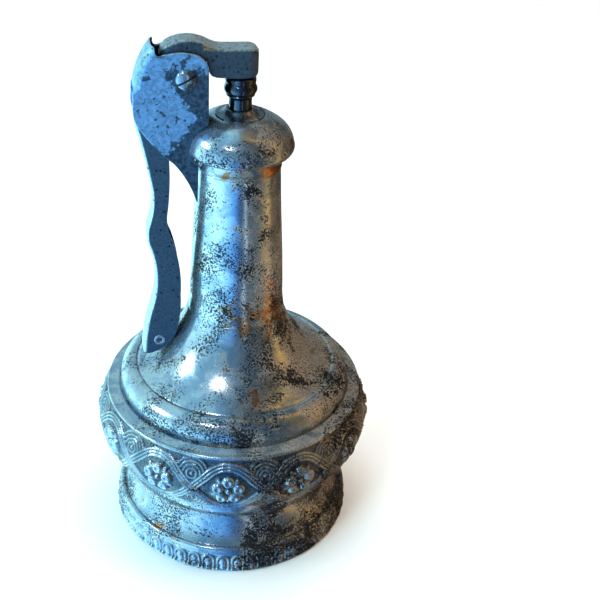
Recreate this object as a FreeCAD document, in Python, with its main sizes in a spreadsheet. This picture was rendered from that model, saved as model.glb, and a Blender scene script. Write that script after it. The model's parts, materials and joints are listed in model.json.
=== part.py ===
"""Small silver-plated table pump worked by a hand lever, built as separate pieces.

Millimetres, +Z up. The origin is the centre of the base, on the surface that the pump stands on.
The lever hangs on the -X side and turns in the XZ plane, about a screw that runs along Y.
Every size is a cell of the sheet "dims", and every sketch and feature is bound to those cells.
"""
import FreeCAD, Part
import math
import os
import Sketcher

DIMENSIONS = {
    # turned shells: radii and levels
    "sheet_wall": 0.8,
    "pad_radius": 25.5, "pad_top": 0.8,
    "foot_bottom": 0.3, "foot_radius": 27.0, "border_top": 5.4, "plate_radius": 25.9,
    "waist_radius": 24.2, "waist_level": 18.4, "scotia_radius": 23.1,
    "bowl_radius": 29.85, "bowl_level": 27.3, "ledge_radius": 28.0, "ledge_level": 34.2,
    "seam_radius": 25.0, "shoulder_level": 39.9, "shoulder_radius": 21.7,
    "neck_foot_radius": 10.3, "neck_foot_level": 54.0,
    "neck_head_radius": 8.4, "neck_head_level": 87.0,
    "dome_level": 89.6, "dome_radius": 10.9, "dome_top": 97.85,
    # gland, plunger and barrel
    "gland_radius": 4.5, "gland_body_radius": 3.4, "gland_top": 98.9, "gland_foot": 93.5,
    "rod_radius": 2.25, "running_gap": 0.05,
    "head_radius": 3.0, "head_top": 105.4, "disc_radius": 3.25,
    "barrel_radius": 5.5, "barrel_bore": 4.9, "barrel_foot": 55.0, "barrel_seat": 7.5,
    "piston_top": 73.5, "leather_top": 71.0, "cup_floor": 69.7, "rod_end": 66.5, "stud_radius": 1.2,
    "nut_height": 1.8,
    "spring_foot": 58.8, "spring_radius": 3.3, "spring_wire": 0.25, "spring_pitch": 1.6,
    "valve_top": 58.6, "port_radius": 1.2, "port_level": 57.9, "ball_radius": 1.5,
    "tube_radius": 1.9, "tube_foot": 21.0,
    # lever and its bracket
    "pivot_across": -10.8, "pivot_level": 106.2, "screw_radius": 1.0, "bush_radius": 1.6,
    "screw_head_radius": 2.0, "screw_head_depth": 0.95,
    "hood_width": 7.0, "hood_sheet": 0.7, "channel_width": 5.2, "channel_sheet": 0.6,
    "arm_width": 4.7, "arm_underside": 105.45,
    "rivet_radius": 0.7, "eyelet_radius": 0.95,
}

doc = FreeCAD.newDocument("table_pump")


class Size:
    """A length together with the sheet expression that it comes from."""

    def __init__(self, value, text):
        self.value = float(value)
        self.text = text

    def __add__(self, other):
        other = as_size(other)
        return Size(self.value + other.value, f"({self.text} + {other.text})")

    def __sub__(self, other):
        other = as_size(other)
        return Size(self.value - other.value, f"({self.text} - {other.text})")

    def __neg__(self):
        return Size(-self.value, f"(-{self.text})")


def as_size(length):
    """Any plain number as a Size."""
    if isinstance(length, Size):
        return length
    return Size(length, f"({length})" if length < 0 else f"{length}")


class Sheet:
    """The driving dimensions: reading an attribute gives that cell as a Size."""

    def __init__(self, cells):
        self.cells = cells
        table = doc.addObject("Spreadsheet::Sheet", "dims")
        for row, (alias, number) in enumerate(cells.items(), start=1):
            table.set(f"A{row}", alias)
            table.set(f"B{row}", str(number))
            table.setAlias(f"B{row}", alias)
        doc.recompute()

    def __getattr__(self, alias):
        return Size(self.cells[alias], f"dims.{alias}")


D = Sheet(DIMENSIONS)
subparts = []


# ---------------------------------------------------------------- building blocks

def new_body(label):
    """An empty body that becomes one sub-part."""
    body = doc.addObject("PartDesign::Body", label)
    body.Label = label
    subparts.append(body)
    return body


def origin_plane(body, role):
    """One of the body's own origin planes."""
    return next(item for item in body.Origin.OriginFeatures if item.Role == role)


def pin_point(sketch, geometry, corner, across, up):
    """Fix one sketch point at two sheet-driven distances from the sketch's origin."""
    for kind, length, axis in (("DistanceX", across, -2), ("DistanceY", up, -1)):
        if length.value == 0:
            rule = Sketcher.Constraint("PointOnObject", geometry, corner, axis)
            sketch.addConstraint(rule)
            continue
        rule = Sketcher.Constraint(kind, -1, 1, geometry, corner, length.value)
        index = sketch.addConstraint(rule)
        sketch.setExpression(f"Constraints[{index}]", length.text)


def outline(body, name, path, role="XZ_Plane"):
    """A closed, fully fixed sketch.

    Each entry of path is a corner (across, up), or a corner with a third value, the point that
    the arc arriving at that corner passes through.
    """
    sketch = body.newObject("Sketcher::SketchObject", name)
    sketch.AttachmentSupport = [(origin_plane(body, role), "")]
    sketch.MapMode = "FlatFace"
    corners = [(as_size(entry[0]), as_size(entry[1])) for entry in path]
    points = [FreeCAD.Vector(a.value, u.value, 0) for a, u in corners]
    edges = []
    for index, entry in enumerate(path):
        start, end = points[index - 1], points[index]
        if len(entry) == 3:
            via = FreeCAD.Vector(as_size(entry[2][0]).value, as_size(entry[2][1]).value, 0)
            arc = Part.Arc(start, via, end)
            edge = sketch.addGeometry(arc, False)
            flipped = arc.toShape().Curve.Axis.z < 0
            edges.append((edge, 2 if flipped else 1, 1 if flipped else 2))
            mark = sketch.addGeometry(Part.Point(via), True)
            pin_point(sketch, mark, 1, as_size(entry[2][0]), as_size(entry[2][1]))
            sketch.addConstraint(Sketcher.Constraint("PointOnObject", mark, 1, edge))
        else:
            edge = sketch.addGeometry(Part.LineSegment(start, end), False)
            edges.append((edge, 1, 2))
    for index, (edge, _, end) in enumerate(edges):
        follower, start, _ = edges[(index + 1) % len(edges)]
        sketch.addConstraint(Sketcher.Constraint("Coincident", edge, end, follower, start))
        pin_point(sketch, edge, end, *corners[index])
    return sketch


def turned(label, path):
    """A piece turned or spun about its own Z axis from a half outline."""
    body = new_body(label)
    sketch = outline(body, f"{label}_outline", path)
    turn = body.newObject("PartDesign::Revolution", f"{label}_turn")
    turn.Profile = sketch
    turn.ReferenceAxis = (sketch, ["V_Axis"])
    turn.Angle = 360
    return body


def padded(body, name, path, width):
    """A slab of the given width, centred on the XZ plane."""
    pad = body.newObject("PartDesign::Pad", name)
    pad.Profile = outline(body, f"{name}_outline", path)
    pad.Midplane = True
    pad.setExpression("Length", width.text)
    return pad


def pocketed(body, name, path, width):
    """A slot of the given width, centred on the XZ plane. It has to remove material."""
    doc.recompute()
    before = body.Shape.Volume
    pocket = body.newObject("PartDesign::Pocket", name)
    pocket.Profile = outline(body, f"{name}_outline", path)
    pocket.Midplane = True
    pocket.setExpression("Length", width.text)
    doc.recompute()
    if body.Shape.Volume >= before:
        raise RuntimeError(f"{name} cuts nothing")
    return pocket


def grooved(body, name, path):
    """A turned recess about the body's Z axis."""
    doc.recompute()
    before = body.Shape.Volume
    groove = body.newObject("PartDesign::Groove", name)
    sketch = outline(body, f"{name}_outline", path)
    groove.Profile = sketch
    groove.ReferenceAxis = (sketch, ["V_Axis"])
    groove.Angle = 360
    doc.recompute()
    if body.Shape.Volume >= before:
        raise RuntimeError(f"{name} cuts nothing")
    return groove


def cross_hole(body, name, across, up, radius, width):
    """A round hole along Y, through a slab that lies in the XZ plane."""
    doc.recompute()
    before = body.Shape.Volume
    sketch = body.newObject("Sketcher::SketchObject", f"{name}_outline")
    sketch.AttachmentSupport = [(origin_plane(body, "XZ_Plane"), "")]
    sketch.MapMode = "FlatFace"
    centre = FreeCAD.Vector(across.value, up.value, 0)
    circle = sketch.addGeometry(Part.Circle(centre, FreeCAD.Vector(0, 0, 1), radius.value), False)
    pin_point(sketch, circle, 3, across, up)
    index = sketch.addConstraint(Sketcher.Constraint("Radius", circle, radius.value))
    sketch.setExpression(f"Constraints[{index}]", radius.text)
    hole = body.newObject("PartDesign::Pocket", name)
    hole.Profile = sketch
    hole.Midplane = True
    hole.setExpression("Length", width.text)
    doc.recompute()
    if body.Shape.Volume >= before:
        raise RuntimeError(f"{name} cuts nothing")


def lay_across(body, across, up):
    """Turn a piece that was made about Z so that it lies along +Y at a point of the XZ plane."""
    body.Placement = FreeCAD.Placement(
        FreeCAD.Vector(across.value, 0, up.value),
        FreeCAD.Rotation(FreeCAD.Vector(1, 0, 0), -90))
    body.setExpression("Placement.Base.x", across.text)
    body.setExpression("Placement.Base.z", up.text)


# ---------------------------------------------------------------- base and foot

def base_pad():
    """Felt disc glued under the base plate: the pump rests on it."""
    turned("base_pad", [(0, 0), (D.pad_radius, 0), (D.pad_radius, D.pad_top), (0, D.pad_top)])


def base_plate():
    """Flat disc that closes the hollow foot."""
    top = D.pad_top + D.sheet_wall
    turned("base_plate", [(0, D.pad_top), (D.plate_radius, D.pad_top), (D.plate_radius, top), (0, top)])


def foot_shell():
    """Spun foot: flange, border band, bead, hollow scotia and the roll under the bowl."""
    rim = D.foot_radius
    scotia = D.scotia_radius
    wall = D.sheet_wall
    waist = D.waist_level
    turned("foot_shell", [
        (D.plate_radius, D.foot_bottom),
        (rim - 0.25, D.foot_bottom),
        (rim, D.foot_bottom + 0.9, (rim + 0.05, D.foot_bottom + 0.4)),
        (rim - 0.35, D.foot_bottom + 1.2),
        (rim - 0.85, D.border_top, (rim - 0.25, D.border_top - 2.2)),
        (rim - 1.75, D.border_top + 0.8, (rim - 1.0, D.border_top + 0.55)),
        (rim - 1.95, D.border_top + 0.65),
        (scotia + 0.35, waist - 4.5, (scotia + 0.1, waist - 8.0)),
        (D.waist_radius, waist, (D.waist_radius + 0.35, waist - 2.0)),
        (D.waist_radius - wall, waist),
        (scotia - 0.5, waist - 4.5, (D.waist_radius - 0.4, waist - 2.0)),
        (rim - 2.9, D.border_top + 0.55, (scotia - 0.75, waist - 8.0)),
        (D.plate_radius, D.border_top - 1.0),
    ])


# ---------------------------------------------------------------- reservoir

def reservoir_floor():
    """Disc soldered into the bottom of the bowl."""
    edge = D.waist_radius - D.sheet_wall
    top = D.waist_level + D.sheet_wall
    turned("reservoir_floor", [(0, D.waist_level), (edge, D.waist_level), (edge, top), (0, top)])


def bowl_shell():
    """Bulging bowl with its bead and narrow ledge."""
    wide = D.bowl_radius
    ledge = D.ledge_radius
    wall = D.sheet_wall
    foot = D.waist_level
    turned("bowl_shell", [
        (D.waist_radius, foot),
        (wide - 1.15, D.bowl_level - 4.8, (wide - 2.75, foot + 1.5)),
        (ledge + 0.5, D.ledge_level - 2.0, (wide, D.bowl_level)),
        (ledge + 0.05, D.ledge_level - 0.7),
        (ledge - 0.35, D.ledge_level, (ledge + 0.15, D.ledge_level - 0.25)),
        (D.seam_radius + 0.6, D.ledge_level + 0.6),
        (D.seam_radius + 0.35, D.ledge_level + 0.15),
        (D.seam_radius, D.ledge_level + 0.15),
        (D.seam_radius, D.ledge_level - 0.6),
        (ledge - 0.85, D.ledge_level - 0.9),
        (ledge - 0.3, D.ledge_level - 2.1),
        (wide - 2.0, D.bowl_level - 4.5, (wide - wall, D.bowl_level)),
        (D.waist_radius - wall, foot + wall, (wide - 3.7, foot + 2.1)),
        (D.waist_radius - wall, foot),
    ])


def shoulder_shell():
    """Rounded shoulder with a fine groove, flaring up to the neck."""
    roll = D.shoulder_radius
    level = D.shoulder_level
    neck = D.neck_foot_radius
    wall = D.sheet_wall
    turned("shoulder_shell", [
        (D.seam_radius, D.ledge_level - 0.6),
        (D.seam_radius, D.ledge_level + 0.3),
        (roll, level, (D.seam_radius - 0.25, D.ledge_level + 3.5)),
        (roll - 0.25, level - 0.2),
        (roll - 0.5, level + 0.1),
        (neck, D.neck_foot_level, (neck + 4.5, D.neck_foot_level - 8.75)),
        (neck - wall, D.neck_foot_level),
        (roll - 1.0, level - 0.6, (neck + 3.8, D.neck_foot_level - 9.25)),
        (D.seam_radius - wall, D.ledge_level - 0.6, (D.seam_radius - 1.3, D.ledge_level + 3.0)),
    ])


def neck_tube():
    """Slightly tapered neck soldered to the shoulder."""
    foot = D.neck_foot_radius
    head = D.neck_head_radius
    wall = D.sheet_wall
    turned("neck_tube", [
        (foot, D.neck_foot_level),
        (foot - 0.45, D.neck_foot_level + 5.0, (foot - 0.32, D.neck_foot_level + 2.2)),
        (head, D.neck_head_level, (head + 0.8, D.neck_head_level - 15.0)),
        (head - wall, D.neck_head_level),
        (foot - 0.45 - wall, D.neck_foot_level + 5.0, (head + 0.8 - wall, D.neck_head_level - 15.0)),
        (foot - wall, D.neck_foot_level, (foot - 0.32 - wall, D.neck_foot_level + 2.2)),
    ])


def neck_collar():
    """Soldered ring between the neck and the domed cap; the barrel hangs in it."""
    low = D.neck_head_level
    turned("neck_collar", [
        (D.barrel_seat, low),
        (D.neck_head_radius + 0.1, low),
        (D.neck_head_radius, D.dome_level, (D.neck_head_radius - 0.15, low + 1.5)),
        (D.barrel_seat, D.dome_level),
    ])


def dome_cap():
    """Domed cap with an overhanging rounded rim."""
    rim = D.dome_radius
    low = D.dome_level
    top = D.dome_top
    wall = D.sheet_wall
    turned("dome_cap", [
        (D.barrel_seat, low),
        (D.neck_head_radius, low),
        (rim - 0.6, low + 0.75),
        (rim - 0.15, low + 2.6, (rim, low + 1.6)),
        (rim - 2.9, top - 1.7, (rim - 1.15, top - 3.15)),
        (D.gland_radius, top, (rim - 4.9, top - 0.55)),
        (D.gland_body_radius, top),
        (D.gland_body_radius, top - wall),
        (rim - 4.2, top - 1.75),
        (rim - 1.0, low + 2.4, (rim - 2.1, top - 3.8)),
        (rim - 1.35, low + 1.35),
        (D.barrel_seat, low + wall),
    ])


# ---------------------------------------------------------------- gland, barrel and valve

def gland_collar():
    """Flared collar that guides the plunger rod through the cap."""
    bore = D.rod_radius + D.running_gap
    turned("gland_collar", [
        (bore, D.gland_top),
        (bore + 0.4, D.gland_top),
        (D.gland_radius, D.dome_top + 0.12, (bore + 0.85, D.dome_top + 0.5)),
        (D.gland_radius, D.dome_top),
        (D.gland_body_radius, D.dome_top),
        (D.gland_body_radius, D.gland_foot),
        (D.gland_body_radius - 0.4, D.gland_foot),
        (D.gland_body_radius - 0.4, D.gland_foot + 2.1),
        (bore, D.gland_foot + 2.1),
    ])


def gland_packing():
    """Felt ring that wipes the rod."""
    inner = D.rod_radius + 0.08
    outer = D.gland_body_radius - 0.4
    low, high = D.gland_foot + 0.2, D.gland_foot + 2.1
    turned("gland_packing", [(inner, low), (outer, low), (outer, high), (inner, high)])


def pump_barrel():
    """Working cylinder inside the neck, hung from the collar by its flange."""
    flange_low = D.neck_head_level + 1.0
    turned("pump_barrel", [
        (D.barrel_bore, D.barrel_foot),
        (D.barrel_radius, D.barrel_foot),
        (D.barrel_radius, flange_low),
        (D.barrel_seat, flange_low),
        (D.barrel_seat, flange_low + 1.0),
        (D.barrel_radius, flange_low + 1.0),
        (D.barrel_radius, D.gland_foot),
        (D.gland_body_radius - 0.4, D.gland_foot),
        (D.gland_body_radius - 0.4, D.gland_foot - 0.7),
        (D.barrel_bore, D.gland_foot - 0.7),
    ])


def valve_seat():
    """Plug in the foot of the barrel with the port that the ball closes."""
    socket = D.port_level - 0.7
    turned("valve_seat", [
        (D.tube_radius, D.barrel_foot),
        (D.barrel_bore, D.barrel_foot),
        (D.barrel_bore, D.valve_top),
        (D.port_radius + 0.7, D.valve_top),
        (D.port_radius, D.port_level),
        (D.port_radius, socket),
        (D.tube_radius, socket),
    ])


def valve_cage():
    """Cap over the ball, with a hole in its top for the liquid."""
    inner = D.ball_radius + 0.4
    outer = inner + 0.5
    roof = D.valve_top + 2.9
    turned("valve_cage", [
        (inner, D.valve_top),
        (outer, D.valve_top),
        (outer, roof),
        (0.8, roof),
        (0.8, roof - 0.4),
        (inner, roof - 0.4),
    ])


def valve_ball():
    """Steel ball that rests on the edge of the port."""
    ball = doc.addObject("Part::Sphere", "valve_ball")
    ball.Label = "valve_ball"
    ball.setExpression("Radius", D.ball_radius.text)
    lift = math.sqrt(D.ball_radius.value ** 2 - D.port_radius.value ** 2)
    text = f"{D.port_level.text} + sqrt({D.ball_radius.text}^2 - {D.port_radius.text}^2) + 0.02"
    ball.Placement.Base = FreeCAD.Vector(0, 0, D.port_level.value + lift + 0.02)
    ball.setExpression("Placement.Base.z", text)
    subparts.append(ball)


def suction_tube():
    """Dip tube from the valve down to just above the floor of the bowl."""
    top = D.port_level - 0.7
    turned("suction_tube", [
        (D.port_radius, D.tube_foot),
        (D.tube_radius, D.tube_foot),
        (D.tube_radius, top),
        (D.port_radius, top),
    ])


# ---------------------------------------------------------------- plunger

def plunger_rod():
    """Turned plunger: flat boss, rounded disc, rod and the stud that carries the piston."""
    boss = D.head_radius
    disc = D.disc_radius
    rod = D.rod_radius
    top = D.head_top
    turned("plunger_rod", [
        (0, top),
        (boss - 0.2, top),
        (boss, top - 0.2),
        (boss, top - 1.0),
        (boss - 0.22, top - 1.15),
        (boss - 0.22, top - 1.3),
        (disc - 0.35, top - 3.45, (disc, top - 2.5)),
        (disc - 0.6, top - 3.6),
        (rod, top - 4.4, (rod + 0.12, top - 4.0)),
        (rod, D.piston_top),
        (D.stud_radius, D.piston_top),
        (D.stud_radius, D.rod_end),
        (0, D.rod_end),
    ])


def piston_disc():
    """Brass disc that backs the cup leather."""
    edge = D.barrel_bore - 0.35
    low, high = D.leather_top, D.piston_top
    turned("piston_disc", [(D.stud_radius, low), (edge, low), (edge, high), (D.stud_radius, high)])


def cup_leather():
    """Leather cup that seals the piston in the barrel."""
    edge = D.barrel_bore - D.running_gap
    turned("cup_leather", [
        (D.stud_radius, D.cup_floor),
        (edge - 0.9, D.cup_floor),
        (edge - 0.9, D.cup_floor - 0.8),
        (edge, D.cup_floor - 0.8),
        (edge, D.leather_top),
        (D.stud_radius, D.leather_top),
    ])


def piston_nut():
    """Hexagon nut that clamps the leather on the stud."""
    body = new_body("piston_nut")
    corner = D.stud_radius + 1.2
    path = []
    for index in range(6):
        angle = math.radians(60 * index)
        across = Size(corner.value * math.cos(angle), f"({corner.text} * cos({60 * index} deg))")
        along = Size(corner.value * math.sin(angle), f"({corner.text} * sin({60 * index} deg))")
        if index in (0, 3):
            along = as_size(0)
        path.append((across, along))
    pad = body.newObject("PartDesign::Pad", "piston_nut_pad")
    pad.Profile = outline(body, "piston_nut_outline", path, role="XY_Plane")
    pad.setExpression("Length", D.nut_height.text)
    grooved(body, "piston_nut_bore", [(0, -1), (D.stud_radius, -1), (D.stud_radius, 3), (0, 3)])
    low = D.cup_floor - D.nut_height
    body.Placement.Base = FreeCAD.Vector(0, 0, low.value)
    body.setExpression("Placement.Base.z", low.text)


def return_spring():
    """Coil spring that lifts the plunger, between the valve plug and the piston."""
    low = D.spring_foot.value + D.spring_wire.value
    high = D.cup_floor.value - 0.02 - D.spring_wire.value
    helix = Part.makeHelix(D.spring_pitch.value, high - low, D.spring_radius.value)
    start = FreeCAD.Vector(D.spring_radius.value, 0, 0)
    section = Part.Wire(Part.makeCircle(D.spring_wire.value, start, FreeCAD.Vector(0, 1, 0)))
    spring = doc.addObject("Part::Feature", "return_spring")
    spring.Label = "return_spring"
    spring.Shape = Part.Wire(helix).makePipeShell([section], True, True)
    spring.Placement.Base = FreeCAD.Vector(0, 0, low)
    subparts.append(spring)


# ---------------------------------------------------------------- bracket

def hood_outline():
    """Side view of the folded bracket, from the top of its back round to the tip on the neck."""
    across, level = D.pivot_across, D.pivot_level
    return [
        (across - 5.8, level + 6.2),
        (across - 6.4, level + 6.2),
        (across - 9.95, level - 4.6, (across - 8.85, level + 1.8)),
        (across - 9.5, level - 8.6, (across - 9.95, level - 6.9)),
        (across - 2.6, level - 17.0, (across - 6.4, level - 13.1)),
        (across + 1.9, level - 25.6, (across + 0.05, level - 20.9)),
        (across + 2.6, level - 26.0),
        (across + 5.8, level - 26.0),
        (across + 5.8, level - 9.4),
        (across + 4.3, level - 9.4),
        (across + 4.3, level + 0.9),
        (across + 1.8, level + 4.7, (across + 3.75, level + 3.2)),
        (across - 4.8, level + 4.4, (across - 1.6, level + 5.05)),
    ]


def bracket_hood():
    """Bracket folded from one sheet: two cheeks and a back that is slotted for the handle."""
    across, level = D.pivot_across, D.pivot_level
    sheet = D.hood_sheet
    body = new_body("bracket_hood")
    padded(body, "bracket_hood_pad", hood_outline(), D.hood_width)
    pocketed(body, "bracket_hood_fold", [
        (across - 6.4 + sheet, level + 8.0),
        (across - 9.2, level - 1.4, (across - 8.25, level + 2.4)),
        (across - 12.0, level - 1.4),
        (across - 12.0, level - 28.0),
        (across + 7.0, level - 28.0),
        (across + 7.0, level + 8.0),
    ], D.hood_width - sheet - sheet)
    gap = 0.05
    grooved(body, "bracket_hood_notch", [
        (0, level - 30.0),
        (D.neck_head_radius + 0.7, level - 30.0),
        (D.neck_head_radius + gap, D.neck_head_level,
         (D.neck_head_radius + 0.42, D.neck_head_level - 5.4)),
        (D.neck_head_radius + 0.1 + gap, D.neck_head_level),
        (D.neck_head_radius + gap, D.dome_level + 0.02),
        (D.dome_radius - 0.6 + gap, D.dome_level + 0.7),
        (D.dome_radius - 0.15 + gap, D.dome_level + 2.6, (D.dome_radius + gap, D.dome_level + 1.6)),
        (D.dome_radius - 2.9 + gap, D.dome_top - 1.7 + gap,
         (D.dome_radius - 1.15 + gap, D.dome_top - 3.15 + gap)),
        (D.gland_radius, D.dome_top + 0.3,
         (D.dome_radius - 4.9 + gap, D.dome_top - 0.55 + gap)),
        (0, D.dome_top + 0.3),
    ])
    cross_hole(body, "bracket_hood_hole", across, level, D.screw_radius, D.hood_width + 2.0)


def pivot_screw():
    """Slotted cheese-head screw; made about Z and laid along Y with its head in front."""
    half = D.hood_width.value / 2
    depth = D.screw_head_depth
    head = D.screw_head_radius
    body = turned("pivot_screw", [
        (0, -half),
        (D.screw_radius, -half),
        (D.screw_radius, half + 1.5),
        (0, half + 1.5),
    ])
    rest = as_size(-half)
    cap = body.newObject("PartDesign::Revolution", "pivot_screw_head")
    sketch = outline(body, "pivot_screw_head_outline", [
        (0, rest),
        (head, rest),
        (head, rest - 0.35),
        (0, rest - depth, (head - 0.75, rest - depth + 0.17)),
    ])
    cap.Profile = sketch
    cap.ReferenceAxis = (sketch, ["V_Axis"])
    cap.Angle = 360
    slot_half = 0.22
    pocketed(body, "pivot_screw_slot", [
        (-slot_half, rest - 0.45),
        (slot_half, rest - 0.45),
        (slot_half, rest - 2.0),
        (-slot_half, rest - 2.0),
    ], head + head + 1.0)
    lay_across(body, D.pivot_across, D.pivot_level)


def pivot_nut():
    """Round nut on the screw's end, behind the rear cheek."""
    half = D.hood_width.value / 2
    body = turned("pivot_nut", [
        (D.screw_radius, half),
        (D.screw_radius + 0.9, half),
        (D.screw_radius + 0.9, half + 1.0),
        (D.screw_radius + 0.65, half + 1.25),
        (D.screw_radius, half + 1.25),
    ])
    lay_across(body, D.pivot_across, D.pivot_level)


# ---------------------------------------------------------------- lever

def handle_channel():
    """Handle pressed as a channel: its back faces outwards and its cheeks reach the pivot."""
    across, level = D.pivot_across, D.pivot_level
    sheet = D.channel_sheet
    body = new_body("handle_channel")
    padded(body, "handle_channel_pad", [
        (across - 9.3, level - 4.2),
        (across - 9.1, level - 11.6, (across - 9.8, level - 7.6)),
        (across - 6.7, level - 23.7, (across - 7.8, level - 17.6)),
        (across - 7.5, level - 31.2, (across - 6.65, level - 26.9)),
        (across - 7.3, level - 37.0, (across - 7.95, level - 33.7)),
        (across - 7.4, level - 50.8, (across - 6.35, level - 44.4)),
        (across - 9.3, level - 60.2, (across - 8.55, level - 55.4)),
        (across - 9.4, level - 62.0),
        (across - 6.9, level - 61.9, (across - 8.2, level - 62.2)),
        (across - 1.85, level - 55.2, (across - 3.6, level - 59.5)),
        (across - 1.3, level - 47.7, (across - 1.4, level - 52.0)),
        (across - 2.9, level - 34.7, (across - 1.6, level - 40.2)),
        (across - 3.65, level - 27.7, (across - 3.75, level - 31.6)),
        (across - 3.3, level - 16.0, (across - 3.25, level - 22.2)),
        (across - 1.6, level - 2.9, (across - 3.2, level - 9.2)),
        (across + 0.4, level + 3.3, (across + 3.2, level + 0.7)),
        (across - 3.7, level + 2.3, (across - 1.4, level + 3.1)),
        (across - 8.7, level - 3.9),
    ], D.channel_width)
    pocketed(body, "handle_channel_fold", [
        (across - 8.5, level + 6.0),
        (across - 8.5, level - 4.2),
        (across - 9.1 + sheet, level - 11.6, (across - 9.8 + sheet, level - 7.6)),
        (across - 6.7 + sheet, level - 23.7, (across - 7.8 + sheet, level - 17.6)),
        (across - 7.5 + sheet, level - 31.2, (across - 6.65 + sheet, level - 26.9)),
        (across - 7.3 + sheet, level - 37.0, (across - 7.95 + sheet, level - 33.7)),
        (across - 7.4 + sheet, level - 50.8, (across - 6.35 + sheet, level - 44.4)),
        (across - 9.3 + sheet, level - 60.2, (across - 8.55 + sheet, level - 55.4)),
        (across - 9.4 + sheet, level - 64.0),
        (across + 6.0, level - 64.0),
        (across + 6.0, level + 6.0),
    ], D.channel_width - sheet - sheet)
    cross_hole(body, "handle_channel_pivot", across, level, D.bush_radius, D.channel_width + 1.0)
    for index, (aside, below) in enumerate(rivet_places(), start=1):
        cross_hole(body, f"handle_channel_rivet_{index}", aside, below,
                   D.rivet_radius, D.channel_width + 1.0)
    cross_hole(body, "handle_channel_eyelet", *eyelet_place(),
               D.eyelet_radius, D.channel_width + 1.0)


def rivet_places():
    """Where the two rivets hold the arm between the channel's cheeks."""
    across, level = D.pivot_across, D.pivot_level
    return [(across - 5.0, level - 3.4), (across - 5.6, level - 7.4)]


def eyelet_place():
    """Where the eyelet crosses the handle's lower end."""
    return D.pivot_across - 5.9, D.pivot_level - 58.9


def lever_arm():
    """Solid arm: a rounded head over the pivot, the block on the plunger, and its shank."""
    across, level = D.pivot_across, D.pivot_level
    under = D.arm_underside
    body = new_body("lever_arm")
    padded(body, "lever_arm_bar", [
        (across - 3.4, level + 3.6),
        (across - 4.6, level + 4.4),
        (across - 1.4, level + 7.0, (across - 4.1, level + 6.1)),
        (across + 3.4, level + 6.7, (across + 1.1, level + 7.4)),
        (across + 6.4, level + 5.25, (across + 4.7, level + 5.75)),
        (across + 12.4, level + 5.2),
        (across + 14.1, level + 3.0, (across + 13.75, level + 4.6)),
        (across + 14.1, under + 1.0),
        (across + 13.5, under + 0.27, (across + 13.9, under + 0.5)),
        (across + 7.8, under + 0.27, (across + 10.65, under)),
        (across + 4.3, level + 3.6, (across + 4.85, under + 1.5)),
    ], D.arm_width)
    padded(body, "lever_arm_shank", [
        (across - 3.4, level + 3.6),
        (across - 6.7, level - 2.6, (across - 5.5, level + 0.8)),
        (across - 7.1, level - 7.4),
        (across - 5.6, level - 9.0, (across - 6.7, level - 8.75)),
        (across - 4.2, level - 7.4, (across - 4.5, level - 8.6)),
        (across - 1.4, level - 3.0, (across - 3.2, level - 4.7)),
        (across + 3.2, level, (across + 2.3, level - 2.3)),
        (across + 4.3, level + 3.6),
    ], D.channel_width - D.channel_sheet - D.channel_sheet)
    cross_hole(body, "lever_arm_pivot", across, level, D.bush_radius, D.arm_width + 1.0)
    for index, (aside, below) in enumerate(rivet_places(), start=1):
        cross_hole(body, f"lever_arm_rivet_{index}", aside, below,
                   D.rivet_radius, D.arm_width + 1.0)


def pivot_bush():
    """Brass bush pressed through the lever; it turns on the screw."""
    half = (D.channel_width.value + 0.2) / 2
    inner = D.screw_radius + D.running_gap
    body = turned("pivot_bush", [
        (inner, -half), (D.bush_radius, -half), (D.bush_radius, half), (inner, half)])
    lay_across(body, D.pivot_across, D.pivot_level)


def arm_rivets():
    """Two flush rivets through the channel and the arm's shank, as one group of solids."""
    pins = []
    for index, (across, level) in enumerate(rivet_places(), start=1):
        pin = doc.addObject("Part::Cylinder", f"arm_rivet_{index}")
        pin.setExpression("Radius", D.rivet_radius.text)
        pin.setExpression("Height", D.channel_width.text)
        pin.Placement = FreeCAD.Placement(
            FreeCAD.Vector(across.value, D.channel_width.value / 2, level.value),
            FreeCAD.Rotation(FreeCAD.Vector(1, 0, 0), 90))
        pin.setExpression("Placement.Base.x", across.text)
        pin.setExpression("Placement.Base.y", f"{D.channel_width.text} / 2")
        pin.setExpression("Placement.Base.z", level.text)
        pins.append(pin)
    group = doc.addObject("Part::Compound", "arm_rivets")
    group.Label = "arm_rivets"
    group.Links = pins
    subparts.append(group)


def handle_eyelet():
    """Hollow rivet that ties the handle's two cheeks together at its lower end."""
    half = D.channel_width.value / 2
    outer = D.eyelet_radius
    bore = outer - 0.4
    body = turned("handle_eyelet", [
        (bore, -half - 0.12),
        (outer + 0.15, -half - 0.12),
        (outer + 0.3, -half),
        (outer, -half),
        (outer, half),
        (outer + 0.3, half),
        (outer + 0.15, half + 0.12),
        (bore, half + 0.12),
    ])
    lay_across(body, *eyelet_place())


# ---------------------------------------------------------------- assembly

def check_and_write():
    """Stop on any failed object, then write one STEP file for each sub-part."""
    doc.recompute()
    for item in doc.Objects:
        if {"Invalid", "Error"} & set(item.State):
            raise RuntimeError(f"{item.Label} failed: {item.State}")
    os.makedirs("parts", exist_ok=True)
    for item in subparts:
        shape = item.Shape
        if shape.isNull() or not shape.isValid():
            raise RuntimeError(f"{item.Label} has no valid shape")
        shape.exportStep(f"parts/{item.Label}.step")
        print(f"{item.Label}: {len(shape.Solids)} solid, {shape.Volume:.1f} mm3")


for build in (
        base_pad, base_plate, foot_shell,
        reservoir_floor, bowl_shell, shoulder_shell, neck_tube, neck_collar, dome_cap,
        gland_collar, gland_packing, pump_barrel, valve_seat, valve_cage, valve_ball, suction_tube,
        plunger_rod, piston_disc, cup_leather, piston_nut, return_spring,
        bracket_hood, pivot_screw, pivot_nut,
        handle_channel, lever_arm, pivot_bush, arm_rivets, handle_eyelet):
    build()
check_and_write()
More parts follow.
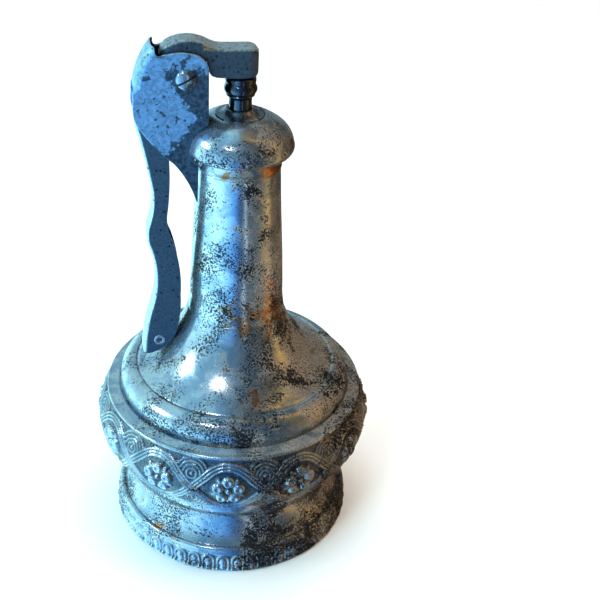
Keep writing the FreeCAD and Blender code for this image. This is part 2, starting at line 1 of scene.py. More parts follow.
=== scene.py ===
"""Looks of the small table pump: detailed meshes round the CAD model, materials, light and camera.

Outlines are written in millimetres, as on a drawing. Meshes are made in metres, in the row frame.
"""
import json
import math

import bmesh
import bpy
import numpy as np
from mathutils import Matrix, Vector


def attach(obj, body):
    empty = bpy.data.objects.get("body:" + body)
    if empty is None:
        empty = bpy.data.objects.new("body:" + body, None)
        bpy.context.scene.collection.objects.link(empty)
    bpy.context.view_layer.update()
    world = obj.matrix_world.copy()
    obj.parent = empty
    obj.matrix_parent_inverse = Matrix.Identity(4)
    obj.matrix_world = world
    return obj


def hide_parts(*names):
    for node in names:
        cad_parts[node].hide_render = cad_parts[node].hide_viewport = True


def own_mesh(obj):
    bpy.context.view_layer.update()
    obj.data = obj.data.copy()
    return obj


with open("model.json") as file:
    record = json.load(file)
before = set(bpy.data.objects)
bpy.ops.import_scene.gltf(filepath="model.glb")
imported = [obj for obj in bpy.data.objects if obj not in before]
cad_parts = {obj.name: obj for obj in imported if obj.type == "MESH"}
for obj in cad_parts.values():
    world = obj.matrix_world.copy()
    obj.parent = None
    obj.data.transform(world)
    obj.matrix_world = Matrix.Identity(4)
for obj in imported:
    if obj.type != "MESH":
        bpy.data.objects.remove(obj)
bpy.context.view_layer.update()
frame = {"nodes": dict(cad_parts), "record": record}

MM = 0.001
PIVOT = (-10.8, 106.2)
EYELET = (PIVOT[0] - 5.9, PIVOT[1] - 58.9)
SLOT_TURN = math.radians(28)
VIEW_TURN = 9
TRACE_STEP = 0.04
SHAPE_ERROR = 0.008
SHARP = math.radians(40)

# Each piece: the body that it rides on, the CAD node that it replaces, and its material slot.
PIECES = {
    "foot": ("housing", "foot_shell", "plated_foot"),
    "bowl": ("housing", "bowl_shell", "plated_bowl"),
    "shoulder": ("housing", "shoulder_shell", "plated_shoulder"),
    "neck": ("housing", "neck_tube", "plated_neck"),
    "collar": ("housing", "neck_collar", "bare_copper"),
    "cap": ("housing", "dome_cap", "plated_cap"),
    "gland": ("housing", "gland_collar", "plated_cap"),
    "plunger": ("plunger", "plunger_rod", "steel"),
    "coil": ("plunger", "return_spring", "steel"),
    "felt_pad": ("housing", "base_pad", "felt"),
    "hood": ("housing", "bracket_hood", "plated_bracket"),
    "handle": ("lever", "handle_channel", "lever_metal"),
    "arm": ("lever", "lever_arm", "arm_metal"),
    "shank": ("lever", None, "arm_metal"),
    "screw": ("housing", "pivot_screw", "screw_steel"),
    "nut": ("housing", "pivot_nut", "screw_steel"),
    "eyelet": ("lever", "handle_eyelet", "screw_steel"),
}


# ---- outlines

def arc_points(start, via, end, step):
    """Points along the arc from start through via to end, without its start."""
    (ax, ay), (bx, by), (cx, cy) = start, via, end
    double = 2 * (ax * (by - cy) + bx * (cy - ay) + cx * (ay - by))
    a2, b2, c2 = ax * ax + ay * ay, bx * bx + by * by, cx * cx + cy * cy
    ux = (a2 * (by - cy) + b2 * (cy - ay) + c2 * (ay - by)) / double
    uy = (a2 * (cx - bx) + b2 * (ax - cx) + c2 * (bx - ax)) / double
    radius = math.hypot(ax - ux, ay - uy)
    first, middle, last = (math.atan2(y - uy, x - ux) for x, y in (start, via, end))
    sweep = math.remainder(middle - first, math.tau) + math.remainder(last - middle, math.tau)
    count = max(2, round(abs(sweep) * radius / step))
    turns = first + sweep * np.arange(1, count + 1) / count
    return [(ux + radius * math.cos(t), uy + radius * math.sin(t)) for t in turns]


def line_points(start, end, step):
    """Points along a straight run, without its start."""
    count = max(1, round(math.dist(start, end) / step))
    return [tuple(np.array(start) + (np.array(end) - start) * k / count) for k in range(1, count + 1)]


def trace(path, step=TRACE_STEP):
    """Dense points along a run of corners and arcs. An arc's entry has the point that it passes third."""
    points = [tuple(path[0][:2])]
    for entry in path[1:]:
        start, end = points[-1], tuple(entry[:2])
        if len(entry) == 3:
            points += arc_points(start, entry[2], end, step)
        else:
            points += line_points(start, end, step)
    return np.array(points, float)


def lengths(points):
    """Distance from the first point to each of them, along the run."""
    return np.r_[0, np.cumsum(np.hypot(*np.diff(points, axis=0).T))]


def resampled(points, count):
    """The same run as count evenly spaced points, its ends included."""
    along = lengths(points)
    at = np.linspace(0, along[-1], count)
    return np.stack([np.interp(at, along, points[:, k]) for k in (0, 1)], axis=1)


def rounded(loop, radius):
    """A closed loop of even points with its corners rounded, by averaging it along its length."""
    reach = max(1, round(radius / TRACE_STEP))
    offsets = np.arange(-2 * reach, 2 * reach + 1)
    weights = np.exp(-0.5 * (offsets / (0.6 * reach)) ** 2)
    return sum(w * np.roll(loop, k, axis=0) for w, k in zip(weights / weights.sum(), offsets))


def thinned(points, spacing):
    """Indices of the points that the shape needs, no further apart than spacing gives at each."""
    keep = [0]
    for index in range(2, len(points)):
        start = keep[-1]
        chord = points[index] - points[start]
        size = max(np.hypot(*chord), 1e-9)
        between = points[start + 1:index] - points[start]
        off = np.abs(between[:, 0] * chord[1] - between[:, 1] * chord[0]).max() / size
        if off > SHAPE_ERROR or (index - start) * TRACE_STEP > spacing[index]:
            keep.append(index - 1)
    keep.append(len(points) - 1)
    return np.array(keep)


def outward(loop):
    """Unit normals of a closed counterclockwise loop."""
    run = np.roll(loop, -1, axis=0) - np.roll(loop, 1, axis=0)
    run /= np.maximum(np.hypot(*run.T), 1e-9)[:, None]
    return np.stack([run[:, 1], -run[:, 0]], axis=1)


def smoothstep(low, high, value):
    """0 below low, 1 above high, and a soft step between."""
    t = np.clip((value - low) / (high - low), 0, 1)
    return t * t * (3 - 2 * t)


def window(low, rise, fall, high, value):
    """1 from rise to fall, 0 below low and above high, and soft steps between."""
    return smoothstep(low, rise, value) * (1 - smoothstep(fall, high, value))


# ---- meshes

def loose(name, points, faces):
    """An object from points in millimetres."""
    mesh = bpy.data.meshes.new(name)
    mesh.from_pydata((np.asarray(points, float) * MM).tolist(), [], faces)
    made = bpy.data.objects.new(name, mesh)
    bpy.context.scene.collection.objects.link(made)
    return made


def enlisted(made, materials):
    """Gives a piece its material, by its own name or else its slot, puts it on its body, and hides the CAD
    node that it replaces.
    """
    body, node, slot = PIECES[made.name]
    made.data.materials.clear()
    made.data.materials.append(materials.get(made.name) or materials[slot])
    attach(made, body)
    if node:
        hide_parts(node)
    return made


def piece(name, points, faces, materials):
    """One smooth piece of the model."""
    made = loose(name, points, faces)
    made.data.validate()
    made.data.shade_smooth()
    return enlisted(made, materials)


def grid_faces(rows, columns, close_rows=False, close_columns=True):
    """Quads of a grid whose points run along the columns first."""
    last_row = rows if close_rows else rows - 1
    last_column = columns if close_columns else columns - 1
    faces = []
    for i in range(last_row):
        a, b = i * columns, (i + 1) % rows * columns
        faces += [(a + j, a + (j + 1) % columns, b + (j + 1) % columns, b + j) for j in range(last_column)]
    return faces


def capped_faces(rows, columns):
    """The quads of a tube of closed loops, and a face over each end."""
    ends = [tuple(range(columns - 1, -1, -1)), tuple(range((rows - 1) * columns, rows * columns))]
    return grid_faces(rows, columns) + ends


def profile_loop(path, corner):
    """The rounded outline of a turned piece as even points, and whether it closes."""
    on_axis = path[0][0] == 0 and path[-1][0] == 0
    run = trace(path if on_axis else [*path, path[0]])
    count = round(lengths(run)[-1] / TRACE_STEP)
    run = resampled(run, count + 1)
    if on_axis:
        mirrored = run[-2:0:-1] * (-1, 1)
        loop = rounded(np.concatenate([run, mirrored]), corner)[:count + 1]
        loop[[0, -1], 0] = 0
        return loop, False
    return rounded(run[:-1], corner), True


def turned(name, path, segments, materials, corner=0.15, spacing=2.0, relief=None, plain=None, lay=None):
    """A turned piece from its half outline, with relief(angle, along) raised on it in millimetres.

    spacing is the widest gap between rings, a number or a function of the distance along the outline.
    plain(along) is 1 where the surface is smooth and gathers no tarnish.
    lay is where the axis passes, on a piece that lies along Y.
    """
    loop, closed = profile_loop(path, corner)
    area = np.sum(loop[:, 0] * np.roll(loop[:, 1], -1) - np.roll(loop[:, 0], -1) * loop[:, 1])
    if area < 0:
        loop = loop[::-1]
    along = np.arange(len(loop)) * TRACE_STEP
    keep = thinned(loop, spacing(along) if callable(spacing) else np.full(len(loop), spacing))
    normal = outward(loop)
    angle = np.arange(segments) / segments * math.tau
    radius, level = loop[keep, 0][:, None], loop[keep, 1][:, None]
    height = relief(angle[None, :], along[keep][:, None]) if relief else np.zeros((len(keep), segments))
    radius = radius + normal[keep, 0][:, None] * height
    level = level + normal[keep, 1][:, None] * height
    points = np.stack([radius * np.cos(angle), radius * np.sin(angle), level + 0 * radius], axis=-1)
    points = points.reshape(-1, 3)
    if lay:
        points = np.stack([lay[0] + points[:, 0], points[:, 2], lay[1] - points[:, 1]], axis=1)
    made = piece(name, points, grid_faces(len(keep), segments, closed), materials)
    smooth_part = plain(along[keep])[:, None] if plain else 0
    raised = made.data.attributes.new("raised", "FLOAT", "POINT")
    raised.data.foreach_set("value", (height + smooth_part + np.zeros((len(keep), segments))).ravel())
    if not closed:
        close_poles(made.data)
    return made


def close_poles(mesh):
    """Joins the points of a turned piece that lie on its axis."""
    work = bmesh.new()
    work.from_mesh(mesh)
    bmesh.ops.remove_doubles(work, verts=work.verts, dist=1e-8)
    work.to_mesh(mesh)
    work.free()


def bake_modifiers(made):
    """Keeps what the object's modifiers make as its own mesh."""
    graph = bpy.context.evaluated_depsgraph_get()
    mesh = bpy.data.meshes.new_from_object(made.evaluated_get(graph))
    made.modifiers.clear()
    old, made.data = made.data, mesh
    bpy.data.meshes.remove(old)


def cut(made, tool):
    """Takes the tool's shape out of the piece, and removes the tool."""
    step = made.modifiers.new("cut", "BOOLEAN")
    step.object = tool
    step.solver = "EXACT"
    bake_modifiers(made)
    made.data.set_sharp_from_angle(angle=SHARP)
    bpy.data.objects.remove(tool)


def drill(across, level, radius):
    """A round tool along Y, longer than any piece is wide."""
    sides, reach = 48, 6.0
    turns = np.arange(sides) / sides * math.tau
    points = [(across + radius * math.cos(t), y, level + radius * math.sin(t))
              for y in (-reach, reach) for t in turns]
    return loose("drill", points, capped_faces(2, sides))


def soft_edges(made, width):
    """Rounds the piece's sharp edges and keeps its flats flat."""
    bevel = made.modifiers.new("edges", "BEVEL")
    bevel.width = width * MM
    bevel.segments = 2
    bevel.limit_method = "ANGLE"
    bevel.angle_limit = SHARP
    bevel.use_clamp_overlap = False
    flats = made.modifiers.new("flats", "WEIGHTED_NORMAL")
    flats.keep_sharp = True


# ---- materials

class Nodes:
    """Short calls for a node tree."""

    def __init__(self, tree):
        self.tree = tree

    def node(self, kind, **settings):
        made = self.tree.nodes.new(kind)
        for key, value in settings.items():
            setattr(made, key, value)
        return made

    def link(self, source, target):
        self.tree.links.new(source, target)

    def feed(self, target, value):
        """Joins an output to an input, or sets the input."""
        if isinstance(value, bpy.types.NodeSocket):
            self.link(value, target)
        elif isinstance(value, tuple) and len(value) == 3 and target.type == "RGBA":
            target.default_value = (*value, 1)
        else:
            target.default_value = value

    def fed(self, kind, values, **settings):
        """A node with its named inputs fed, or its first inputs in order."""
        made = self.node(kind, **settings)
        for key, value in values.items() if isinstance(values, dict) else enumerate(values):
            self.feed(made.inputs[key], value)
        return made

    def math(self, operation, a, b=0.0):
        return self.fed("ShaderNodeMath", (a, b), operation=operation).outputs[0]

    def add(self, a, b):
        return self.math("ADD", a, b)

    def less(self, a, b):
        return self.math("SUBTRACT", a, b)

    def times(self, a, b):
        return self.math("MULTIPLY", a, b)

    def most(self, a, b):
        return self.math("MAXIMUM", a, b)

    def step(self, value, low, high, to_low=0.0, to_high=1.0, kind="SMOOTHSTEP"):
        """A step of value between low and high, soft unless its kind says otherwise."""
        values = (value, low, high, to_low, to_high)
        return self.fed("ShaderNodeMapRange", values, interpolation_type=kind).outputs["Result"]

    def mix(self, factor, a, b):
        """Colour a where factor is 0, and b where it is 1."""
        return self.fed("ShaderNodeMix", {"Factor": factor, 6: a, 7: b}, data_type="RGBA").outputs[2]

    def ramp(self, value, stops):
        """A colour ramp from (position, colour) pairs."""
        made = self.fed("ShaderNodeValToRGB", {"Fac": value})
        elements = made.color_ramp.elements
        while len(elements) > 1:
            elements.remove(elements[-1])
        elements[0].position, elements[0].color = stops[0][0], (*stops[0][1], 1)
        for position, colour in stops[1:]:
            elements.new(position).color = (*colour, 1)
        return made.outputs["Color"]


class Graph(Nodes):
    """A material's nodes. Lengths inside the graph are millimetres."""

    def __init__(self, name):
        self.material = bpy.data.materials.new(name)
        self.material.use_nodes = True
        super().__init__(self.material.node_tree)
        self.shader = self.tree.nodes["Principled BSDF"]
        place = self.node("ShaderNodeTexCoord").outputs["Object"]
        scale = self.fed("ShaderNodeVectorMath", {0: place, "Scale": 1 / MM}, operation="SCALE")
        self.place = scale.outputs[0]

    def stretched(self, x, y, z):
        """The place on the object, scaled along each axis."""
        return self.fed("ShaderNodeVectorMath", (self.place, (x, y, z)), operation="MULTIPLY").outputs[0]

    def noise(self, scale, detail=3.0, roughness=0.6, distortion=0.0, place=None):
        return self.fed("ShaderNodeTexNoise", {
            "Vector": place or self.place, "Scale": scale, "Detail": detail,
            "Roughness": roughness, "Distortion": distortion}).outputs["Fac"]

    def cells(self, scale):
        """Distance to the nearest of scattered points."""
        return self.fed("ShaderNodeTexVoronoi", {"Vector": self.place, "Scale": scale}).outputs["Distance"]

    def attribute(self, name):
        """A number that the mesh carries at each point."""
        return self.node("ShaderNodeAttribute", attribute_name=name).outputs["Fac"]

    def axis(self, name):
        """One coordinate of the place on the object."""
        return self.fed("ShaderNodeSeparateXYZ", (self.place,)).outputs[name]

    def from_pivot(self):
        """Distance right of the lever's pivot, and above it."""
        return self.less(self.axis("X"), PIVOT[0]), self.less(self.axis("Z"), PIVOT[1])

    def bump(self, height, distance, strength=1.0):
        """Relief of that height in millimetres on the surface's normal."""
        made = self.fed("ShaderNodeBump", {"Strength": strength, "Distance": distance * MM, "Height": height})
        self.link(made.outputs["Normal"], self.shader.inputs["Normal"])

    def set(self, **values):
        for key, value in values.items():
            self.feed(self.shader.inputs[key.replace("_", " ")], value)


def scaled(colour, share):
    """A colour made darker or lighter."""
    return tuple(min(1.0, share * c) for c in colour)


BASE_METAL = (0.55, 0.27, 0.12)
# Dull warm metal of the matte patches, also a painted warm shade on the right side.
MATTE_WARM_SHADE = (0.36, 0.30, 0.23)
SPECK = (0.016, 0.023, 0.034)
GROUND_TARNISH = (0.012, 0.018, 0.028)
SHADED_INSIDE = (0.014, 0.020, 0.030)


def worn_plate(name, bright=(0.60, 0.65, 0.68), film=(0.38, 0.48, 0.57), speckle=0.60, spread=0.09,
               copper=0.64, polish=0.14, ground=None, bare_at=None):
    """Worn silver plate: bright metal, thin bluish film, clustered dark specks, warm base metal, and dull
    warm patches that gather on the right side as painted warm shade.

    Lower speckle and copper levels give more specks and more bare metal, and spread clusters the specks.
    ground is the span of relief heights, from low to high, over which the tarnish of the ground ends.
    """
    g = Graph(name)
    fine = g.noise(2.6, 3.0, 0.62, 0.2)
    cluster = g.step(g.noise(0.10, 3.0, 0.6, 0.8), 0.38, 0.62, -spread, spread)
    # Matte patches, and a painted warm shade: the X term spreads them over the right side.
    matte_and_right_shade = g.step(g.add(g.noise(0.12, 3.0, 0.6, 0.5), g.times(g.axis("X"), 0.009)), 0.50, 0.60)
    cluster = g.add(cluster, g.times(matte_and_right_shade, 0.10))
    specks = g.step(g.add(fine, cluster), speckle - 0.03, speckle + 0.04)
    silver = g.mix(g.step(g.noise(0.22, 3.0, 0.6, 0.6), 0.42, 0.60), bright, film)
    bare = g.add(g.noise(0.20, 4.0, 0.65, 0.8), g.times(fine, 0.25))
    bare = g.step(bare, copper + 0.12, copper + 0.18)
    if bare_at:
        bare = g.most(bare, bare_at(g))
    silver = g.mix(g.times(matte_and_right_shade, 0.75), silver, MATTE_WARM_SHADE)
    colour = g.mix(g.times(specks, 0.92), g.mix(bare, silver, BASE_METAL), SPECK)
    if ground is not None:
        low = g.step(g.attribute("raised"), *ground, 0.8, 0.0)
        colour = g.mix(g.times(low, g.step(fine, 0.25, 0.5, 0.6, 1.0)), colour, GROUND_TARNISH)
    rough = g.add(g.times(specks, 0.35), g.step(fine, 0.3, 0.7, polish, polish + 0.10))
    rough = g.add(rough, g.times(matte_and_right_shade, 0.08))
    clean = g.times(matte_and_right_shade, g.less(1.0, specks))
    g.set(Base_Color=colour, Metallic=g.step(clean, 0.0, 1.0, 0.95, 0.74), Roughness=rough)
    g.bump(g.less(g.times(g.noise(0.5, 2.0), 0.45), g.times(specks, 0.4)), 0.03, 0.8)
    return g.material


def ragged(g, scale, reach):
    """Noise about zero that frays an edge by about that reach in millimetres."""
    return g.times(g.less(g.noise(scale, 5.0, 0.7, 0.3), 0.5), reach)


def bare_right(g):
    """Base metal showing on the right of the ring."""
    return g.step(g.add(g.axis("X"), ragged(g, 0.5, 8.0)), 3.0, 4.0)


def bare_neck_foot(g):
    """Base metal showing in rubbed patches at the neck's foot."""
    level = g.math("ABSOLUTE", g.less(g.add(g.axis("Z"), ragged(g, 0.22, 34.0)), 56.5))
    level = g.add(level, ragged(g, 2.2, 5.0))
    return g.times(g.step(level, 1.4, 2.0, 0.9, 0.0), g.step(g.axis("X"), -6.0, -4.0))


def struck_metal(name, flat, patch, fold, polish, zone=None, pits=0.5, grain=1.2, film=0.66):
    """Folded or cast metal: a flat colour, patches, round pits, a painted highlight on its bends and painted
    shade inside.

    film is the noise level above which patches show, zone(g) is where they show besides, and more
    pits means more of the small round holes. fold is the lighter colour of the bends: rubbed metal and a
    painted highlight.
    The mesh's attribute is 1 where that highlight is painted, on a bend or along the arm's top, and -1 on a
    fold's inner face, where shade is painted.
    """
    g = Graph(name)
    fine = g.noise(grain, 4.0, 0.7, 0.3)
    colour = g.mix(g.step(fine, 0.32, 0.68), scaled(flat, 0.75), scaled(flat, 1.35))
    blotch = g.step(g.add(g.noise(0.30, 4.0, 0.65, 0.4), g.times(fine, 0.15)), film, film + 0.03)
    if zone:
        blotch = g.most(blotch, zone(g))
    shade = g.mix(g.step(fine, 0.36, 0.64), scaled(patch, 0.6), scaled(patch, 2.0))
    colour = g.mix(g.times(blotch, 0.95), colour, shade)
    painted_light_and_shade = g.attribute("painted_light_and_shade")
    # Painted highlight: bends and the arm's top take the lighter fold colour, rubbed in places.
    wear_and_highlight = g.mix(g.step(fine, 0.36, 0.62), scaled(fold, 0.45), fold)
    colour = g.mix(g.step(painted_light_and_shade, 0.05, 0.45), colour, wear_and_highlight)
    large = g.step(g.add(g.cells(0.62), g.times(fine, 0.12)), 0.19, 0.27, 1.0, 0.0)
    small = g.step(g.cells(1.5), 0.12, 0.22, 1.0, 0.0)
    holes = g.most(large, g.times(small, g.step(g.noise(0.4), 1.0 - pits, 1.1 - pits)))
    colour = g.mix(g.times(holes, 0.85), colour, scaled(flat, 0.15))
    # Painted shade: a fold's inner face, right of the slot, is coloured near black.
    right_of_slot = g.step(g.axis("X"), PIVOT[0] - 8.7, PIVOT[0] - 7.8)
    colour = g.mix(g.times(g.step(painted_light_and_shade, -0.6, -0.3, 1.0, 0.0), right_of_slot), colour, SHADED_INSIDE)
    g.set(Base_Color=colour, Metallic=0.6, Roughness=g.step(fine, 0.2, 0.8, polish, polish + 0.16))
    g.bump(g.less(g.times(fine, 0.35), g.add(holes, g.times(blotch, 0.3))), 0.06, 0.8)
    return g.material


def screw_shadow_and_dark_wedge(g):
    """Darker wedges on the bracket: a painted shadow right of the screw, and a wedge above the cap."""
    x, z = g.from_pivot()
    edge = ragged(g, 0.45, 9.0)
    # Painted shadow right of the screw.
    upper = g.add(g.add(x, g.times(z, 0.75)), edge)
    upper = g.times(g.step(upper, -3.6, -3.2), g.step(g.add(z, edge), 1.2, 2.0, 1.0, 0.0))
    # Darker wedge low on the bracket, above the cap.
    lower = g.add(g.less(x, g.times(z, 0.9)), edge)
    return g.most(upper, g.step(lower, 8.9, 9.3))


def brassy_zone(g):
    """Rubbed stretch on top of the arm where the metal shows warm."""
    x, z = g.from_pivot()
    along = g.math("ABSOLUTE", g.add(g.less(x, 4.4), ragged(g, 0.8, 9.0)))
    return g.times(g.step(along, 0.8, 1.5, 0.8, 0.0), g.step(z, 4.9, 5.3))


def screw_metal():
    """Turned steel with stains, painted shade on its right side, and painted shade at the bottom of the slot.
    """
    g = Graph("screw_steel")
    x, z = g.from_pivot()
    aside = g.math("ABSOLUTE", g.less(g.times(z, math.cos(SLOT_TURN)), g.times(x, math.sin(SLOT_TURN))))
    # Painted shade: the slot's bottom is coloured near black.
    slot = g.step(aside, 0.17, 0.205, 1.0, 0.0)
    # Stains, with the X term adding painted shade over the right side.
    stain = g.step(g.add(g.noise(0.9, 4.0, 0.65, 0.5), g.times(x, 0.12)), 0.46, 0.66)
    colour = g.mix(stain, (0.36, 0.47, 0.56), (0.07, 0.11, 0.16))
    rough = g.add(g.times(slot, 0.5), g.times(stain, 0.2))
    g.set(Base_Color=g.mix(slot, colour, (0.006, 0.008, 0.012)), Metallic=0.8, Roughness=rough)
    return g.material


def plain_metal(name, colour, shade, rough, streak=(1.0, 1.0, 1.0)):
    """Machined metal with fine streaks and a few stains."""
    g = Graph(name)
    lines = g.noise(2.5, 3.0, 0.6, 0.0, g.stretched(*streak))
    stain = g.step(g.noise(0.5, 4.0, 0.65, 0.5), 0.50, 0.66)
    metal = g.mix(lines, colour, scaled(colour, 0.7))
    g.set(Base_Color=g.mix(stain, metal, shade), Metallic=1.0,
          Roughness=g.add(g.times(lines, 0.18), g.times(stain, 0.15 + rough)))
    g.bump(lines, 0.015)
    return g.material


def sheet_edge_material():
    """Cut edge of a sheet, rubbed bright in patches that also stand in for a painted highlight along the
    edge.
    """
    g = Graph("sheet_edge")
    # Rubbed patches and painted highlight: the noise picks where the bright edge colour shows.
    wear_and_highlight = g.step(g.noise(0.9, 3.0), 0.35, 0.6)
    g.set(Base_Color=g.mix(wear_and_highlight, (0.10, 0.17, 0.25), (0.45, 0.66, 0.78)), Metallic=0.7,
          Roughness=g.step(wear_and_highlight, 0.0, 1.0, 0.5, 0.3))
    return g.material


def felt_material():
    """Dark green felt with a tangled nap."""
    g = Graph("felt")
    fibres = g.noise(3.0, 6.0, 0.8, 2.5)
    tufts = g.noise(0.8, 3.0)
    g.set(Base_Color=g.mix(fibres, (0.012, 0.03, 0.022), (0.05, 0.10, 0.07)),
          Roughness=g.step(tufts, 0.3, 0.7, 0.85, 1.0), Sheen_Weight=0.5, Sheen_Roughness=0.5)
    g.bump(g.add(fibres, tufts), 0.12)
    return g.material


def leather_material():
    """Oiled brown cup leather."""
    g = Graph("leather")
    grain = g.cells(2.2)
    g.set(Base_Color=g.mix(g.noise(0.9, 5.0), (0.07, 0.028, 0.012), (0.20, 0.09, 0.04)),
          Roughness=g.step(grain, 0.1, 0.6, 0.45, 0.7))
    g.bump(grain, 0.05)
    return g.material


def make_materials():
    """Every material by its slot in the record, and the gland's own: its slot's plate made darker as painted
    shade.
    """
    plates = {
        "plated_foot": {"speckle": 0.59, "copper": 0.62, "ground": (-0.36, -0.14)},
        "plated_bowl": {"speckle": 0.645, "ground": (-0.10, 0.34), "polish": 0.18},
        "plated_shoulder": {"speckle": 0.595, "spread": 0.10, "bare_at": bare_neck_foot},
        # Painted light: the neck's metal and film are lighter than the other plates' to stand in for light on
        # it.
        "plated_neck": {"bright": (0.74, 0.82, 0.86), "film": (0.44, 0.56, 0.66), "speckle": 0.59,
                        "spread": 0.10, "copper": 0.68, "bare_at": bare_neck_foot},
        "plated_cap": {"speckle": 0.575, "copper": 0.66},
        # Painted shade: the gland's plate is a darker copy of the cap's.
        "gland": {"bright": (0.20, 0.23, 0.26), "film": (0.10, 0.13, 0.17), "speckle": 0.56},
        "bare_copper": {"copper": 0.55, "bare_at": bare_right},
    }
    struck = {
        "plated_bracket": {"flat": (0.15, 0.34, 0.62), "patch": (0.024, 0.050, 0.085),
                           "fold": (0.28, 0.50, 0.62), "polish": 0.34, "pits": 0.62, "zone": screw_shadow_and_dark_wedge},
        "lever_metal": {"flat": (0.045, 0.090, 0.15), "patch": (0.03, 0.055, 0.09),
                        "fold": (0.62, 0.82, 0.90), "polish": 0.30, "pits": 0.35, "grain": 2.4, "film": 0.8},
        "arm_metal": {"flat": (0.045, 0.075, 0.11), "patch": (0.30, 0.20, 0.09),
                      "fold": (0.30, 0.36, 0.38), "polish": 0.24, "pits": 0.45, "grain": 1.8, "film": 0.84,
                      "zone": brassy_zone},
    }
    plain = {
        "plated_sheet": ((0.55, 0.62, 0.66), (0.08, 0.10, 0.13), 0.3, (1, 1, 0.2)),
        "steel": ((0.13, 0.16, 0.20), (0.03, 0.035, 0.045), 0.25),
        "brass": ((0.60, 0.42, 0.16), (0.24, 0.13, 0.05), 0.3),
    }
    made = {"felt": felt_material(), "leather": leather_material(), "screw_steel": screw_metal()}
    made.update((name, worn_plate(name, **look)) for name, look in plates.items())
    made.update((name, struck_metal(name, **look)) for name, look in struck.items())
    made.update((name, plain_metal(name, *look)) for name, look in plain.items())
    return made


def paint_kept_nodes(materials):
    """Each CAD node that is carried over gets the material of its slot."""
    for part in frame["record"]["subparts"]:
        shown = frame["nodes"][part["node"]]
        if part["material_slot"] in materials:
            shown.data.materials.clear()
            shown.data.materials.append(materials[part["material_slot"]])


# ---- relief

# The band is unrolled: x runs round it from the middle of a rosette, y up it from its middle line.
BAND_REPEATS = 12
BAND_START = math.radians(-100.4)
BAND_CENTRE = 10.8
BAND_RADIUS = 29.7
HALF_CELL = math.pi * BAND_RADIUS / BAND_REPEATS
EYE = 5.6
LEAN = math.asin(EYE / HALF_CELL)
STRAND_HALF = 1.05
RIDGE_PITCH = 0.7
NO_STRAND = -1.0
FAN_ROOT = 3.5
FAN_PITCH = 0.80
PETAL_CIRCLE = 2.3
PETAL_RADIUS = 1.30

LOBES = 51
LOBE_PITCH = math.tau * 26.4 / LOBES
LOBE_LEVEL = 3.4


def strand_offset(x, y):
    """Signed distance from the middle of the strand that rises over the rosette, outwards positive."""
    x = np.abs(x)
    round_part = np.hypot(x, y) - EYE
    straight_part = x * math.sin(LEAN) + y * math.cos(LEAN) - EYE
    return np.where(np.arctan2(x, y) < LEAN, round_part, straight_part)


def strand_height(offset):
    """Three rounded ridges side by side."""
    ridges = 0.5 + 0.5 * np.cos(offset / RIDGE_PITCH * math.tau)
    return np.where(np.abs(offset) < STRAND_HALF, 0.06 + 0.44 * ridges, NO_STRAND)


def fan_height(x, y):
    """Round scale of arcs that fills a gap between two eyes, with a bead at its root."""
    reach = np.hypot(HALF_CELL - np.abs(x), np.abs(y) - FAN_ROOT)
    arcs = 0.04 + 0.26 * (0.5 + 0.5 * np.cos((reach - 1.1) / FAN_PITCH * math.tau))
    arcs = np.where((reach > 0.7) & (reach < 3.9), arcs, 0.0)
    bead = 0.32 * np.sqrt(np.clip(1 - (reach / 0.5) ** 2, 0, 1))
    return np.maximum(arcs, bead)


def rosette_height(x, y):
    """Five round petals with dimples about a bead, with small leaves between them."""
    height = np.zeros(np.broadcast(x, y).shape)
    for k in range(5):
        turn = math.radians(90 + 72 * k)
        reach = np.hypot(x - PETAL_CIRCLE * math.cos(turn), y - PETAL_CIRCLE * math.sin(turn))
        petal = np.sqrt(np.clip(1 - (reach / PETAL_RADIUS) ** 2, 0, 1)) - 0.65 * np.exp(-(reach / 0.45) ** 2)
        height = np.maximum(height, petal)
        turn += math.radians(36)
        along = x * math.cos(turn) + y * math.sin(turn)
        aside = -x * math.sin(turn) + y * math.cos(turn)
        leaf = 0.40 * np.sqrt(np.clip(1 - ((along - 3.0) / 0.85) ** 2 - (aside / 0.55) ** 2, 0, 1))
        height = np.maximum(height, leaf)
    bead = 0.75 * np.sqrt(np.clip(1 - (x * x + y * y) / 0.62 ** 2, 0, 1))
    return np.maximum(height, bead)


def bowl_relief(angle, along):
    """Interlaced strands round rosettes, with fans in the gaps, on the bowl's outer face."""
    cell = np.remainder((angle - BAND_START) * BAND_REPEATS / math.tau + 0.5, 1.0) - 0.5
    x = cell * 2 * HALF_CELL
    y = along - BAND_CENTRE
    upper = strand_height(strand_offset(x, y))
    lower = strand_height(strand_offset(x, -y))
    over, under = np.where(x > 0, upper, lower), np.where(x > 0, lower, upper)
    strand = np.where(over > NO_STRAND, over + 0.05, under)
    gap = (strand_offset(x, y) > STRAND_HALF) | (strand_offset(x, -y) > STRAND_HALF)
    ground = np.where(gap, fan_height(x, y), rosette_height(x, y))
    height = np.where(strand > NO_STRAND, strand, ground) - 0.12
    inside = window(3.2, 4.0, 17.4, 17.9, along)
    return height * inside


def border_share(along):
    """1 on the foot's border, 0 off it."""
    return window(1.15, 1.6, 5.2, 5.7, along)


def foot_relief(angle, along):
    """Border of upright egg lobes, each in an arched frame, on the foot's edge."""
    x = (np.remainder(angle * LOBES / math.tau, 1.0) - 0.5) * LOBE_PITCH
    y = along - LOBE_LEVEL
    egg = 0.42 * np.sqrt(np.clip(1 - (x / 0.85) ** 2 - ((y + 0.35) / 1.45) ** 2, 0, 1))
    arch = np.where(y > 0.55, np.hypot(x, (y - 0.55) * 0.95), np.abs(x))
    frame_line = 0.36 * np.exp(-((arch - 1.22) / 0.22) ** 2)
    return (np.maximum(egg, frame_line) - 0.26) * border_share(along)


